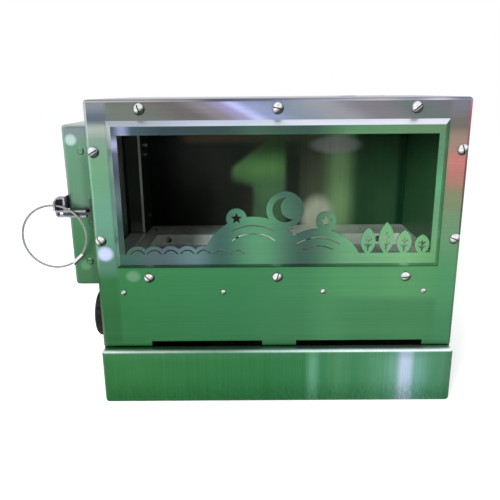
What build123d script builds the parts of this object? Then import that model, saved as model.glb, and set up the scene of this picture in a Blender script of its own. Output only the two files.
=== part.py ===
from build123d import *
import math
import os

# Frame: X to the right seen from the front, Y to the back, Z up, floor at z = 0, body centred on x = y = 0

# Sheet, gaps and fits
sheet = 1.5
seat_gap = 0.3
pin_fit = 0.05
hole_clearance = 0.3
corner_radius = 4.0
cut_past = 1.0
thread_end = 1.0

# Firebox body
body_width = 400.0
body_depth = 240.0
body_bottom = 68.0
body_top = 342.0
front_return = 5.0
foot_flange = 15.0

# Air slots between the tabs at the foot of the front panel
air_slot_height = 5.5
left_slot_inset = 56.5
right_slot_inset = 34.0
middle_tab_left = -17.0
middle_tab_right = 22.0

# Raised window frame: its distance from the body's edges, and the width of its four bands
frame_side_margin = 22.5
frame_foot_margin = 93.5
frame_top_margin = 21.5
frame_side_band = 11.5
frame_foot_band = 16.5
frame_top_band = 14.5
frame_height = 5.0
bevel_width = 5.5
aperture_margin = 3.0

# Glass, gasket and retainer
glass_side_lap = 18.0
glass_foot_lap = 19.0
glass_top_lap = 17.5
glass_thickness = 4.0
gasket_thickness = 2.0
gasket_width = 12.0
retainer_side_gap = 2.5
retainer_top_gap = 2.7
retainer_foot_gap = 6.5
retainer_lap = 13.0
retainer_room = 0.5

# Big window screws
window_head_radius = 6.3
window_head_height = 5.0
window_shank_radius = 2.0
window_screw_edge_gap = 1.1
window_screw_top_gap = 3.7
window_screw_foot_gap = 4.7
window_screw_corner_inset = 35.1
window_screw_low_rise = 15.0
window_screw_high_drop = 17.0
nut_flats = 7.0
nut_thickness = 3.2

# Firebox floor and its four small screws
floor_rise = 70.0
floor_flange = 14.0
floor_screw_inset = 28.2
floor_screw_pitch = 111.7
floor_screw_count = 4
floor_screw_drop = 5.0
floor_head_radius = 3.2
floor_head_height = 2.6
floor_shank_radius = 1.5
small_nut_flats = 5.5
small_nut_thickness = 2.4
air_hole_radius = 4.0
air_hole_inset = 49.6
air_hole_pitch = 63.1
air_hole_columns = 6
air_hole_row_pitch = 35.0
air_hole_back_inset = 35.2
air_hole_rows = 4

# Raised air channels round the firebox floor
channel_height = 15.0
rear_channel_depth = 56.0
side_channel_width = 16.0
channel_start_gap = 0.7
channel_rivet_radius = 2.2
channel_rivet_height = 1.3
channel_rivet_inset = 10.0
channel_rivet_pitch = 50.0
channel_rivet_count = 7
channel_bolt_radius = 4.2
channel_bolt_height = 2.6
channel_bolt_inset = 32.0
channel_bolt_pitch = 99.5
channel_bolt_count = 4

# Loading door opening in the left wall, with its throat and liner
throat_front_inset = 28.0
throat_back_inset = 61.0
throat_sill = 20.0
throat_headroom = 39.0
liner_offset = 18.5

# Loading door
door_front_lap = 11.5
door_back_lap = 13.0
door_foot_lap = 21.0
door_top_lap = 13.5
door_outer = 30.0
door_standoff = 4.0
door_liner_depth = 12.0
gasket_section = 5.0
gasket_inset = 4.0
door_rivet_inset = 28.0
door_rivet_radius = 4.0
rivet_head_height = 1.2

# Door hinges
hinge_inset = 46.0
hinge_height = 36.0
hinge_leaf = 2.0
hinge_leaf_length = 30.0
hinge_pin_radius = 2.0
hinge_pin_head_height = 1.2
hinge_pin_tail = 1.0
knuckle_radius = 4.0
knuckle_gap = 0.3
hinge_axis_out = 5.0
hinge_axis_behind_door = 5.0
hinge_bolt_radius = 1.6
hinge_bolt_head_radius = 3.4
hinge_rivet_rise = 11.0
hinge_bolt_rise = 6.0

# Latch clip, keeper and pull ring
clip_rise = 85.0
clip_strap = 2.0
clip_slot = 3.6
clip_ahead = 10.5
clip_width = 8.0
clip_inner_end = 8.0
clip_outer_end = 41.0
clip_ear_height = 16.5
clip_ear_lip = 5.5
clip_flange_length = 34.0
spacer_length = 7.0
spacer_height = 12.5
keeper_thickness = 3.0
keeper_reach = 33.0
keeper_side_gap = 0.5
keeper_plate_height = 32.0
keeper_screw_pitch = 20.0
keeper_head_height = 1.6
ring_radius = 35.0
ring_wire_radius = 0.9
ring_hole_radius = 2.0
ring_offset = 4.0
barrel_radius = 2.3
barrel_length = 16.0
barrel_angle = -47.0
barrel_chamfer = 0.5

# Rotary air regulator under the door
regulator_inset = 36.0
regulator_rise = 28.0
regulator_radius = 27.5
regulator_depth = 10.0
regulator_skin = 3.0
regulator_rim_chamfer = 2.0
regulator_boss_radius = 8.0
regulator_port_radius = 5.5
regulator_port_circle = 16.0
regulator_port_count = 3
regulator_notch_count = 12
regulator_notch_radius = 1.3
regulator_screw_radius = 2.5
regulator_head_radius = 5.5
regulator_head_height = 3.0
regulator_nut_flats = 8.0

# Chimney socket in the top plate
flue_side_inset = 95.0
flue_back_inset = 70.0
flue_bore = 40.5
flue_socket_depth = 35.0
flue_flange = 10.0
flue_stop = 3.5

# Base frame and ash drawer
base_side_inset = 1.0
base_front_inset = 2.0
base_back_inset = 1.0
base_sheet = 2.0
base_screw_pitch = 80.0
base_head_radius = 4.0
base_head_height = 2.2
drawer_front_depth = 12.0
drawer_side_inset = 0.5
drawer_front_bottom = 1.5
drawer_lip_gap = 1.5
drawer_side_gap = 0.5
drawer_headroom = 8.2
drawer_back_gap = 5.0

# Body planes that follow from the sizes above
front = -body_depth / 2
back = body_depth / 2
side = body_width / 2
panel_back = front + sheet
inner_back = back - sheet
inner_side = side - sheet
wall_out = -side
liner_face = wall_out + sheet + liner_offset
floor_level = body_bottom + floor_rise
channel_top = floor_level + channel_height
rear_channel_front = inner_back - seat_gap - rear_channel_depth
window_screw_bore = window_shank_radius + hole_clearance
floor_screw_bore = floor_shank_radius + hole_clearance
hinge_bolt_bore = hinge_bolt_radius + hole_clearance

# Window
frame_half_width = side - frame_side_margin
frame_bottom = body_bottom + frame_foot_margin
frame_top = body_top - frame_top_margin
opening_half_width = frame_half_width - frame_side_band
opening_bottom = frame_bottom + frame_foot_band
opening_top = frame_top - frame_top_band
glass_half_width = opening_half_width + glass_side_lap
glass_bottom = opening_bottom - glass_foot_lap
glass_top = opening_top + glass_top_lap
glass_front = panel_back + gasket_thickness
glass_back = glass_front + glass_thickness
retainer_half_width = inner_side - retainer_side_gap
retainer_bottom = floor_level + retainer_foot_gap
retainer_top = body_top - sheet - retainer_top_gap
retainer_back = glass_back + seat_gap + sheet
channel_start = retainer_back + channel_start_gap

# Loading door, its throat and its hinge line
throat_front = front + throat_front_inset
throat_back = back - throat_back_inset
throat_bottom = floor_level + throat_sill
throat_top = body_top - throat_headroom
door_front = throat_front - door_front_lap
door_back = throat_back + door_back_lap
door_bottom = throat_bottom - door_foot_lap
door_top = throat_top + door_top_lap
door_face = wall_out - door_outer
door_liner_back = wall_out - gasket_section
door_rivet_x = door_liner_back - door_liner_depth / 2
door_rivet_levels = (door_bottom + door_rivet_inset, door_top - door_rivet_inset)
hinge_x = wall_out - hinge_axis_out
hinge_y = door_back + hinge_axis_behind_door
hinge_levels = (door_bottom + hinge_inset, door_top - hinge_inset)
hinge_rivet_x = door_liner_back - door_liner_depth + hinge_bolt_head_radius
hinge_rivet_points = [(hinge_rivet_x, level + s * hinge_rivet_rise) for level in hinge_levels for s in (-1, 1)]

# Latch
clip_level = door_bottom + clip_rise
clip_front = door_front - clip_ahead
clip_back = clip_front + clip_width
clip_half = clip_slot / 2 + clip_strap
clip_end = wall_out - clip_outer_end
ear_top = clip_level + clip_half + clip_ear_height - clip_strap
ear_middle = ear_top - clip_ear_height / 2
ring_y = clip_front - clip_strap
ring_x = clip_end + clip_strap / 2 - ring_offset
ring_level = ear_middle - math.sqrt(ring_radius**2 - ring_offset**2)
clip_rivet_points = [(clip_back + clip_flange_length * share, ear_middle) for share in (0.35, 0.8)]

# Chimney socket, air regulator, base and drawer
flue_x = side - flue_side_inset
flue_y = back - flue_back_inset
regulator_y = front + regulator_inset
regulator_level = body_bottom + regulator_rise
base_half_width = side - base_side_inset
base_front = front + base_front_inset
base_back = back - base_back_inset
drawer_face = front - drawer_front_depth
drawer_front_half_width = side - drawer_side_inset
drawer_back = base_back - base_sheet - drawer_back_gap
drawer_height = body_bottom - base_sheet - seat_gap - drawer_headroom


def block(x0, x1, y0, y1, z0, z1):
    """A box between two corners."""
    size = Box(x1 - x0, y1 - y0, z1 - z0)
    return Pos((x0 + x1) / 2, (y0 + y1) / 2, (z0 + z1) / 2) * size


def rod(start, end, radius):
    """A round bar between two points."""
    axis = Vector(*end) - Vector(*start)
    seat = Plane(origin=start, z_dir=axis)
    return seat * Cylinder(radius, axis.length, align=(Align.CENTER, Align.CENTER, Align.MIN))


def bore_x(y, z, x0, x1, radius):
    """A hole along X that runs a little past both faces."""
    return rod((x0 - cut_past, y, z), (x1 + cut_past, y, z), radius)


def bore_y(x, z, y0, y1, radius):
    return rod((x, y0 - cut_past, z), (x, y1 + cut_past, z), radius)


def bore_z(x, y, z0, z1, radius):
    return rod((x, y, z0 - cut_past), (x, y, z1 + cut_past), radius)


def body_block(inset):
    """The body's rounded outer form, moved in by inset on every face but the open foot."""
    solid = block(
        -side + inset,
        side - inset,
        front + inset,
        back - inset,
        body_bottom - (cut_past if inset else 0.0),
        body_top - inset,
    )
    foot = solid.bounding_box().min.Z
    bends = [edge for edge in solid.edges() if edge.center().Z > foot + cut_past]
    return fillet(bends, corner_radius - min(inset, sheet))


def edges_along_x(solid):
    return [edge for edge in solid.edges() if abs((edge % 0.5).X) > 0.9]


def window(half_width, z0, z1, y0, y1):
    """A centred rectangular block behind or in front of the window."""
    return block(-half_width, half_width, y0, y1, z0, z1)


def place(points, make):
    """The same piece at several points, kept as separate solids."""
    return Compound(children=[Pos(*point) * make(index) for index, point in enumerate(points)])


def dome_screw(head_radius, head_height, shank_radius, shank_length, slot_angle):
    """A slotted dome-head screw along +Z, its head on z = 0 and its shank below."""
    ball = (head_radius**2 + head_height**2) / (2 * head_height)
    dome = Pos(0, 0, head_height - ball) * Sphere(ball)
    head = dome & Cylinder(head_radius, head_height, align=(Align.CENTER, Align.CENTER, Align.MIN))
    slot_depth = head_height * 0.45
    slot = Box(head_radius * 2, head_radius * 0.2, slot_depth, align=(Align.CENTER, Align.CENTER, Align.MAX))
    head -= Pos(0, 0, head_height) * Rot(0, 0, slot_angle) * slot
    shank = Cylinder(shank_radius, shank_length, align=(Align.CENTER, Align.CENTER, Align.MAX))
    return head + shank


def flat_rivet(head_radius, head_height, shank_radius, shank_length):
    """A rivet or bolt along +Z with a low conical head on z = 0 and its shank below."""
    low = (Align.CENTER, Align.CENTER, Align.MIN)
    head = Cone(head_radius, head_radius - head_height, head_height, align=low)
    shank = Cylinder(shank_radius, shank_length, align=(Align.CENTER, Align.CENTER, Align.MAX))
    return head + shank


def hex_nut(flats, thickness, bore):
    """A hexagon nut standing on z = 0."""
    outline = RegularPolygon(flats / 2, 6, major_radius=False)
    return extrude(outline - Circle(bore), thickness)


def facing(direction):
    """The turn that takes a piece built along +Z to another direction."""
    return Plane(origin=(0, 0, 0), z_dir=direction).location


def front_plate(sketch, y_back, thickness):
    """A flat plate cut from an outline drawn in X and Z, thickness measured to the front."""
    return extrude(Plane.XZ.offset(-y_back) * sketch, thickness)


# Fastener positions
window_screw_pitch = frame_half_width - window_screw_corner_inset
window_screw_top = body_top - window_head_radius - window_screw_top_gap
window_screw_foot = frame_bottom - window_head_radius - window_screw_foot_gap
window_screw_side = side - window_head_radius - window_screw_edge_gap
window_screw_levels = (opening_bottom + window_screw_low_rise, opening_top - window_screw_high_drop)
window_screw_points = [
    (column * window_screw_pitch, level)
    for level in (window_screw_top, window_screw_foot)
    for column in (-1, 0, 1)
]
window_screw_points += [(s * window_screw_side, z) for s in (-1, 1) for z in window_screw_levels]
floor_screw_points = [
    (-side + floor_screw_inset + turn * floor_screw_pitch, floor_level - floor_screw_drop)
    for turn in range(floor_screw_count)
]
hinge_bolt_points = [
    (hinge_y + hinge_leaf_length * share, level + rise)
    for level in hinge_levels
    for share, rise in ((0.4, -hinge_bolt_rise), (0.8, hinge_bolt_rise))
]
keeper_screw_levels = [clip_level - keeper_screw_pitch / 2, clip_level + keeper_screw_pitch / 2]
keeper_y = clip_front + clip_width / 2
port_angles = [math.radians(90 + turn * 360 / regulator_port_count) for turn in range(regulator_port_count)]
regulator_ports = [
    (
        regulator_y + regulator_port_circle * math.cos(angle),
        regulator_level + regulator_port_circle * math.sin(angle),
    )
    for angle in port_angles
]
base_screw_x = side - foot_flange / 2
base_screw_points = [(s * base_screw_x, row * base_screw_pitch) for s in (-1, 1) for row in (-1, 0, 1)]


def screw_holes_y(points, radius, y0, y1):
    return [bore_y(x, z, y0, y1, radius) for x, z in points]


def screw_holes_x(points, radius, x0, x1):
    return [bore_x(y, z, x0, x1, radius) for y, z in points]


# Body sheets
body_hollow = body_block(0.0) - body_block(sheet)


def make_front_panel():
    panel = body_hollow & block(-side, side, front, front + front_return, body_bottom, body_top)
    panel -= window(
        opening_half_width + aperture_margin,
        opening_bottom - aperture_margin,
        opening_top + aperture_margin,
        front - cut_past,
        front + front_return,
    )
    left_slot = (-side + left_slot_inset, middle_tab_left)
    right_slot = (middle_tab_right, side - right_slot_inset)
    for start, end in (left_slot, right_slot):
        slot_top = body_bottom + air_slot_height
        panel -= block(start, end, front - cut_past, panel_back + cut_past, body_bottom - cut_past, slot_top)
    for hole in screw_holes_y(window_screw_points, window_screw_bore, front, panel_back):
        panel -= hole
    for hole in screw_holes_y(floor_screw_points, floor_screw_bore, front, panel_back):
        panel -= hole
    return panel


def make_body_shell():
    middle = block(-side, side, front + front_return, back - front_return, body_bottom, body_top)
    shell = body_hollow & middle
    for s in (-1, 1):
        x0, x1 = sorted((s * (side - foot_flange), s * (side - sheet)))
        shell += block(x0, x1, front + front_return, back - front_return, body_bottom, body_bottom + sheet)
    shell -= block(
        wall_out - cut_past,
        wall_out + sheet + cut_past,
        throat_front - sheet,
        throat_back + sheet,
        throat_bottom - sheet,
        throat_top + sheet,
    )
    shell -= bore_z(flue_x, flue_y, body_top - sheet, body_top, flue_bore + sheet)
    for hole in screw_holes_x(hinge_bolt_points, hinge_bolt_bore, wall_out, wall_out + sheet):
        shell -= hole
    for z in keeper_screw_levels:
        shell -= bore_x(keeper_y, z, wall_out, wall_out + sheet, floor_screw_bore)
    for y, z in regulator_ports:
        shell -= bore_x(y, z, wall_out, wall_out + sheet, regulator_port_radius)
    shell -= rod(
        (wall_out - cut_past, regulator_y, regulator_level),
        (wall_out + sheet + cut_past, regulator_y, regulator_level),
        regulator_screw_radius + hole_clearance,
    )
    for x, y in base_screw_points:
        shell -= bore_z(x, y, body_bottom, body_bottom + sheet, window_screw_bore)
    return shell


def make_back_panel():
    panel = body_hollow & block(-side, side, back - front_return, back, body_bottom, body_top)
    panel += block(
        -side + foot_flange,
        side - foot_flange,
        back - foot_flange,
        back - sheet,
        body_bottom,
        body_bottom + sheet,
    )
    return panel


# Cut-out strip of generic shapes along the window's lower edge, drawn from the middle of that edge
slit = 1.5
strip_foot = 2.0
wave_count = 7
wave_radius = 13.0
wave_side_gap = 14.0
wave_pitch = 18.0
wave_sink = 3.0
wave_curl_inset = 4.0
hill_left_x = -26.0
hill_left_sink = 14.0
hill_left_radius = 56.0
hill_right_x = 44.0
hill_right_sink = 22.0
hill_right_radius = 50.0
hill_line_inset = 9.0
hill_line_length = 46.0
hill_line_foot = 5.0
moon_x = 8.0
moon_rise = 49.0
moon_radius = 20.0
moon_rim = 6.5
moon_bite = 8.0
star_left_x = -44.0
star_left_rise = 40.0
star_right_x = 52.0
star_right_rise = 36.0
star_plate = 11.0
star_outer = 6.5
star_inner = 2.8
leaf_first = 98.0
leaf_pitch = 19.5
leaf_height = 36.0
leaf_shares = (0.83, 1.0, 0.75, 0.61)
leaf_half_width = 8.0
leaf_vein = 4.6
leaf_vein_lean = 52.0


def star(radius, waist):
    """A five-pointed star outline."""
    corners = []
    for turn in range(10):
        reach = waist if turn % 2 else radius
        angle = math.radians(90 + 36 * turn)
        corners.append((reach * math.cos(angle), reach * math.sin(angle)))
    return make_face(Polyline(*corners, close=True))


def leaf(height, half_width):
    """A pointed leaf made by two crossing circles, its foot at the origin."""
    bow = ((height / 2) ** 2 + half_width**2) / (2 * half_width)
    left = Pos(bow - half_width, height / 2) * Circle(bow)
    right = Pos(half_width - bow, height / 2) * Circle(bow)
    return left & right


def leaf_veins(height):
    """A slit up the leaf's middle with two pairs of side veins."""
    veins = Pos(0, height * 0.42) * Rectangle(slit, height * 0.55)
    for step in (0.3, 0.5):
        for lean in (-1, 1):
            vein = Rectangle(leaf_vein, slit, align=(Align.MIN, Align.CENTER))
            veins += Pos(0, height * step) * Rot(0, 0, 90 - lean * leaf_vein_lean) * vein
    return veins


def ring_band(radius, width):
    return Circle(radius) - Circle(radius - width)


def waves():
    """A row of rolling waves and the curl cut in each."""
    crests = Sketch()
    curls = Sketch()
    upper_half = Pos(0, wave_radius) * Rectangle(2 * wave_radius, 2 * (wave_radius - wave_curl_inset))
    curl = ring_band(wave_radius - wave_curl_inset, slit) & upper_half
    for turn in range(wave_count):
        seat = Pos(-opening_half_width + wave_side_gap + turn * wave_pitch, -wave_sink)
        crests += seat * Circle(wave_radius)
        curls += seat * curl
    return crests, curls


def hills():
    """Two round hills and the contour slits cut in them."""
    mounds = Sketch()
    contours = Sketch()
    left = (hill_left_x, hill_left_sink, hill_left_radius)
    right = (hill_right_x, hill_right_sink, hill_right_radius)
    for x, sink, radius in (left, right):
        mounds += Pos(x, -sink) * Circle(radius)
        keep = Pos(x, radius / 2) * Rectangle(hill_line_length, radius - 2 * hill_line_foot)
        for turn in (1, 2):
            contours += (Pos(x, -sink) * ring_band(radius - turn * hill_line_inset, slit)) & keep
    return mounds, contours


def moon():
    """A disc behind the hills with a crescent cut in it."""
    seat = Pos(moon_x, moon_rise)
    bite = Pos(moon_bite, moon_bite / 3) * Circle(moon_radius - moon_rim - slit / 2)
    crescent = Circle(moon_radius - moon_rim) - bite
    return seat * Circle(moon_radius), seat * crescent


def stars():
    plates = Sketch()
    cuts = Sketch()
    for x, rise in ((star_left_x, star_left_rise), (star_right_x, star_right_rise)):
        plates += Pos(x, rise) * Circle(star_plate)
        cuts += Pos(x, rise) * star(star_outer, star_inner)
    return plates, cuts


def leaves():
    blades = Sketch()
    veins = Sketch()
    for turn, share in enumerate(leaf_shares):
        seat = Pos(leaf_first + turn * leaf_pitch, -strip_foot / 2)
        blades += seat * leaf(leaf_height * share, leaf_half_width)
        veins += seat * leaf_veins(leaf_height * share)
    return blades, veins


def make_artwork():
    """Waves at the left, hills under a crescent in the middle and leaves at the right."""
    strip_height = opening_top - opening_bottom
    picture = Rectangle(2 * (opening_half_width + strip_foot), strip_foot)
    cuts = Sketch()
    for plates, slits in (waves(), hills(), moon(), stars(), leaves()):
        picture += plates
        cuts += slits
    view = Pos(0, strip_height / 2) * Rectangle(2 * opening_half_width, strip_height)
    return Pos(0, opening_bottom) * ((picture - cuts) & view)


def bevelled(half_width, z0, z1, depth):
    """A low block on the front panel whose four sides lean in like the frame's bevel."""
    lean = bevel_width * depth / frame_height
    centre = (z0 + z1) / 2
    foot = Pos(0, centre) * Rectangle(2 * half_width, z1 - z0)
    face = Pos(0, centre) * Rectangle(2 * (half_width - lean), z1 - z0 - 2 * lean)
    return loft([Plane.XZ.offset(-front) * foot, Plane.XZ.offset(depth - front) * face])


def make_window_frame():
    wall = sheet * math.hypot(bevel_width, frame_height) / frame_height
    pan = bevelled(frame_half_width, frame_bottom, frame_top, frame_height)
    pan -= bevelled(frame_half_width - wall, frame_bottom + wall, frame_top - wall, frame_height - sheet)
    pan -= window(opening_half_width, opening_bottom, opening_top, front - frame_height - cut_past, front)
    pan += front_plate(make_artwork(), front - frame_height + sheet, sheet)
    return pan


def make_glass_gasket():
    outer = window(glass_half_width, glass_bottom, glass_top, panel_back, glass_front)
    inner = window(
        glass_half_width - gasket_width,
        glass_bottom + gasket_width,
        glass_top - gasket_width,
        panel_back - cut_past,
        glass_front + cut_past,
    )
    return outer - inner


def make_glass_pane():
    return window(glass_half_width, glass_bottom, glass_top, glass_front, glass_back)


def make_glass_retainer():
    """A pressed frame: its rim lies on the panel and its step holds the glass."""
    rim = window(retainer_half_width, retainer_bottom, retainer_top, panel_back, panel_back + sheet)
    dish = window(
        glass_half_width + retainer_room + sheet,
        glass_bottom - retainer_room - sheet,
        glass_top + retainer_room + sheet,
        panel_back,
        retainer_back,
    )
    pocket = window(
        glass_half_width + retainer_room,
        glass_bottom - retainer_room,
        glass_top + retainer_room,
        panel_back - cut_past,
        retainer_back - sheet,
    )
    sight = window(
        glass_half_width - retainer_lap,
        glass_bottom + retainer_lap,
        glass_top - retainer_lap,
        panel_back - cut_past,
        retainer_back + cut_past,
    )
    frame = rim + dish - pocket - sight
    for hole in screw_holes_y(window_screw_points, window_screw_bore, panel_back, panel_back + sheet):
        frame -= hole
    return frame


def make_window_screws():
    angles = (20, 75, 130, 50, 160, 95, 35, 120, 70, 10)
    length = 2 * sheet + nut_thickness + thread_end
    turn = facing((0, -1, 0))

    def one(index):
        screw = dome_screw(window_head_radius, window_head_height, window_shank_radius, length, angles[index])
        return turn * screw

    return place([(x, front, z) for x, z in window_screw_points], one)


def make_window_nuts():
    turn = facing((0, 1, 0))
    nut = turn * hex_nut(nut_flats, nut_thickness, window_shank_radius)
    return place([(x, panel_back + sheet, z) for x, z in window_screw_points], lambda index: nut)


# Firebox floor and air channels
def make_floor_plate():
    plate = body_block(sheet + seat_gap) & block(-side, side, front, back, floor_level - sheet, floor_level)
    flange_half = inner_side - corner_radius
    flange_foot = floor_level - floor_flange
    plate += block(-flange_half, flange_half, panel_back, panel_back + sheet, flange_foot, floor_level)
    plate += block(-flange_half, flange_half, inner_back - sheet, inner_back, flange_foot, floor_level)
    for row in range(air_hole_rows):
        y = rear_channel_front - air_hole_back_inset - row * air_hole_row_pitch
        for column in range(air_hole_columns):
            x = -side + air_hole_inset + column * air_hole_pitch
            plate -= bore_z(x, y, floor_level - sheet, floor_level, air_hole_radius)
    for hole in screw_holes_y(floor_screw_points, floor_screw_bore, panel_back, panel_back + sheet):
        plate -= hole
    return plate


def make_floor_screws():
    angles = (25, 80, 140, 60)
    length = 2 * sheet + small_nut_thickness + thread_end
    turn = facing((0, -1, 0))

    def one(index):
        screw = dome_screw(floor_head_radius, floor_head_height, floor_shank_radius, length, angles[index])
        return turn * screw

    return place([(x, front, z) for x, z in floor_screw_points], one)


def make_floor_nuts():
    nut = facing((0, 1, 0)) * hex_nut(small_nut_flats, small_nut_thickness, floor_shank_radius)
    return place([(x, panel_back + sheet, z) for x, z in floor_screw_points], lambda index: nut)


channel_rivet_points = [
    (liner_face + channel_rivet_inset + turn * channel_rivet_pitch, (rear_channel_front + inner_back) / 2)
    for turn in range(channel_rivet_count)
]
channel_bolt_level = floor_level + channel_height / 2
channel_bolt_first = liner_face + channel_bolt_inset
channel_bolt_columns = [channel_bolt_first + turn * channel_bolt_pitch for turn in range(channel_bolt_count)]


def make_rear_air_channel():
    right_end = inner_side - seat_gap
    riser_back = rear_channel_front + sheet
    hood = block(liner_face, right_end, rear_channel_front, inner_back, channel_top - sheet, channel_top)
    riser = block(liner_face, right_end, rear_channel_front, riser_back, floor_level, channel_top)
    channel = (hood + riser) & body_block(sheet + seat_gap)
    for x, y in channel_rivet_points:
        channel -= bore_z(x, y, channel_top - sheet, channel_top, floor_shank_radius)
    for x in channel_bolt_columns:
        channel -= rod(
            (x, rear_channel_front - cut_past, channel_bolt_level),
            (x, rear_channel_front + sheet + cut_past, channel_bolt_level),
            window_shank_radius,
        )
    return channel


def make_side_channel(x_wall, direction):
    """An angle along the firebox floor, its hood reaching from the wall side inwards."""
    x_inner = x_wall + direction * side_channel_width
    x0, x1 = sorted((x_wall, x_inner))
    hood = block(x0, x1, channel_start, rear_channel_front, channel_top - sheet, channel_top)
    x2, x3 = sorted((x_inner, x_inner - direction * sheet))
    return hood + block(x2, x3, channel_start, rear_channel_front, floor_level, channel_top)


def make_channel_rivets():
    rivet = flat_rivet(channel_rivet_radius, channel_rivet_height, floor_shank_radius, sheet + thread_end)
    return place([(x, y, channel_top) for x, y in channel_rivet_points], lambda index: rivet)


def make_channel_bolts():
    length = sheet + nut_thickness + thread_end
    bolt = flat_rivet(channel_bolt_radius, channel_bolt_height, window_shank_radius, length)
    bolt = facing((0, -1, 0)) * bolt
    points = [(x, rear_channel_front, channel_bolt_level) for x in channel_bolt_columns]
    return place(points, lambda index: bolt)


# Left side opening
def make_left_liner():
    liner_top = body_top - sheet - seat_gap
    liner = block(liner_face - sheet, liner_face, channel_start, inner_back, floor_level, liner_top)
    liner = liner & body_block(sheet + seat_gap)
    liner -= block(
        liner_face - sheet - cut_past,
        liner_face + cut_past,
        throat_front - sheet,
        throat_back + sheet,
        throat_bottom - sheet,
        throat_top + sheet,
    )
    for hole in screw_holes_x(hinge_bolt_points, hinge_bolt_bore, liner_face - sheet, liner_face):
        liner -= hole
    return liner


def make_door_throat():
    outer = block(
        wall_out,
        liner_face,
        throat_front - sheet,
        throat_back + sheet,
        throat_bottom - sheet,
        throat_top + sheet,
    )
    x0 = wall_out - cut_past
    x1 = liner_face + cut_past
    return outer - block(x0, x1, throat_front, throat_back, throat_bottom, throat_top)


# Loading door
def make_side_door():
    pan = block(door_face, wall_out - door_standoff, door_front, door_back, door_bottom, door_top)
    bends = [edge for edge in pan.edges() if edge.center().X < wall_out - door_standoff - cut_past]
    pan = fillet(bends, corner_radius)
    room = block(
        door_face + sheet,
        wall_out,
        door_front + sheet,
        door_back - sheet,
        door_bottom + sheet,
        door_top - sheet,
    )
    inner_bends = [edge for edge in room.edges() if edge.center().X < wall_out - cut_past]
    pan -= fillet(inner_bends, corner_radius - sheet)
    for z in door_rivet_levels:
        pan -= bore_y(door_rivet_x, z, door_front, door_front + sheet, floor_shank_radius)
    for x, z in hinge_rivet_points:
        pan -= bore_y(x, z, door_back - sheet, door_back, floor_shank_radius)
    for y, z in clip_rivet_points:
        pan -= bore_x(y, z, door_face, door_face + sheet, floor_shank_radius)
    return pan


def make_door_liner():
    """The tray that closes the door pan towards the fire; its rim is riveted inside the pan."""
    tray = block(
        door_liner_back - door_liner_depth,
        door_liner_back,
        door_front + sheet,
        door_back - sheet,
        door_bottom + sheet,
        door_top - sheet,
    )
    room = block(
        door_liner_back - door_liner_depth - cut_past,
        door_liner_back - sheet,
        door_front + 2 * sheet,
        door_back - 2 * sheet,
        door_bottom + 2 * sheet,
        door_top - 2 * sheet,
    )
    tray = fillet(edges_along_x(tray), corner_radius - sheet)
    tray -= fillet(edges_along_x(room), corner_radius - 2 * sheet)
    for z in door_rivet_levels:
        tray -= bore_y(door_rivet_x, z, door_front + sheet, door_front + 2 * sheet, floor_shank_radius)
    for x, z in hinge_rivet_points:
        tray -= bore_y(x, z, door_back - 2 * sheet, door_back - sheet, floor_shank_radius)
    return tray


def make_door_gasket():
    """A square rope ring on the door liner, pressed towards the wall round the throat."""
    x0 = door_liner_back
    x1 = wall_out - seat_gap
    outer = block(
        x0,
        x1,
        door_front + gasket_inset,
        door_back - gasket_inset,
        door_bottom + gasket_inset,
        door_top - gasket_inset,
    )
    rim = gasket_inset + gasket_section
    inner = block(
        x0 - cut_past,
        x1 + cut_past,
        door_front + rim,
        door_back - rim,
        door_bottom + rim,
        door_top - rim,
    )
    return fillet(edges_along_x(outer), gasket_section) - fillet(edges_along_x(inner), gasket_section / 2)


def make_door_rivets():
    length = 2 * sheet + thread_end
    front_rivet = flat_rivet(door_rivet_radius, rivet_head_height, floor_shank_radius, length)
    front_rivet = facing((0, -1, 0)) * front_rivet
    pieces = [Pos(door_rivet_x, door_front, z) * front_rivet for z in door_rivet_levels]
    hinge_rivet = flat_rivet(hinge_bolt_head_radius, rivet_head_height, floor_shank_radius, hinge_leaf + length)
    hinge_rivet = facing((0, 1, 0)) * hinge_rivet
    pieces += [Pos(x, door_back + hinge_leaf, z) * hinge_rivet for x, z in hinge_rivet_points]
    return Compound(children=pieces)


# Hinges
knuckle_height = hinge_height / 3


def knuckle(level, low, high):
    """A knuckle between two heights measured from the hinge's lower end."""
    foot = level - hinge_height / 2
    return rod((hinge_x, hinge_y, foot + low), (hinge_x, hinge_y, foot + high), knuckle_radius)


def hinge_bore(level):
    foot = level - hinge_height / 2 - cut_past
    top = level + hinge_height / 2 + cut_past
    return rod((hinge_x, hinge_y, foot), (hinge_x, hinge_y, top), hinge_pin_radius + pin_fit)


def make_wall_hinge(level):
    foot = level - hinge_height / 2
    leaf_plate = block(
        wall_out - hinge_leaf, wall_out, hinge_y, hinge_y + hinge_leaf_length, foot, foot + hinge_height
    )
    relief = rod(
        (hinge_x, hinge_y, foot + knuckle_height - knuckle_gap),
        (hinge_x, hinge_y, foot + 2 * knuckle_height + knuckle_gap),
        knuckle_radius + knuckle_gap,
    )
    leaf_plate = leaf_plate - relief
    leaf_plate += knuckle(level, 0.0, knuckle_height - knuckle_gap)
    leaf_plate += knuckle(level, 2 * knuckle_height + knuckle_gap, hinge_height)
    leaf_plate -= hinge_bore(level)
    for y, z in hinge_bolt_points:
        if abs(z - level) < hinge_height / 2:
            leaf_plate -= bore_x(y, z, wall_out - hinge_leaf, wall_out, hinge_bolt_radius)
    return leaf_plate


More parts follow.
